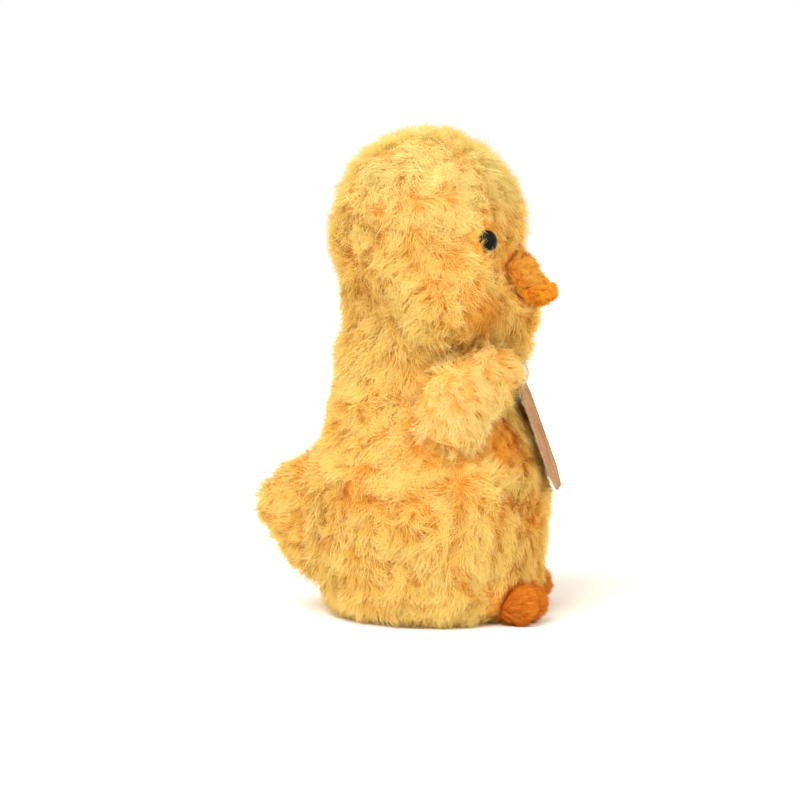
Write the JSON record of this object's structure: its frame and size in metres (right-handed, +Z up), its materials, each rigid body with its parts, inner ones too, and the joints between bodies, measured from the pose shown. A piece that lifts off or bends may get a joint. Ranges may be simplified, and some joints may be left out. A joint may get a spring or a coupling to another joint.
{
  "type": "plush chick",
  "caption": "Sitting stuffed toy chick with a pile cover, hinged side wings, locked button eyes, a short-pile beak and feet, and a swinging hang tag.",
  "frame": {"origin": "middle of the flat base panel that the chick sits on", "axes": "+Z up, the body faces -Y, and its left side is at +X"},
  "size_m": [0.1108, 0.1345, 0.2131],
  "materials": {
    "long_pile": "golden yellow long pile",
    "pale_pile": "cream yellow long pile",
    "short_pile": "orange short pile",
    "fibre": "loose polyester filling",
    "pouch_cloth": "plain woven cloth round pellets",
    "eye_black": "polished black",
    "washer_white": "moulded white",
    "kraft_card": "uncoated brown card",
    "nylon": "clear drawn filament"
  },
  "bodies": {
    "torso": {"body_cover": "long_pile", "base_panel": "long_pile", "pellet_pouch": "pouch_cloth", "body_stuffing": "fibre", "tail_cover": "long_pile", "tail_stuffing": "fibre", "tag_loop": "nylon", "head_cover": "long_pile", "head_stuffing": "fibre", "eye_right": "eye_black", "eye_washer_right": "washer_white", "eye_left": "eye_black", "eye_washer_left": "washer_white", "beak_upper": "short_pile", "beak_lower": "short_pile", "beak_stuffing": "fibre", "foot_cover_right": "short_pile", "foot_stuffing_right": "fibre", "foot_cover_left": "short_pile", "foot_stuffing_left": "fibre"},
    "wing_right": {"wing_cover_right": "pale_pile", "wing_stuffing_right": "fibre"},
    "wing_left": {"wing_cover_left": "pale_pile", "wing_stuffing_left": "fibre"},
    "tag": {"tag_card": "kraft_card"}
  },
  "joints": [
    {"name": "wing_right_flap", "type": "hinge", "parent": "torso", "child": "wing_right", "pos_m": [-0.0436, 0.005, 0.094], "axis": [0, 0, -1], "range_deg": [0, 70]},
    {"name": "wing_left_flap", "type": "hinge", "parent": "torso", "child": "wing_left", "pos_m": [0.0436, 0.005, 0.094], "axis": [0, 0, 1], "range_deg": [0, 70]},
    {"name": "tag_swing", "type": "hinge", "parent": "torso", "child": "tag", "pos_m": [-0.00016, -0.0406, 0.10162], "axis": [-0.9986, 0.0523, 0], "range_deg": [0, 40]}
  ]
}
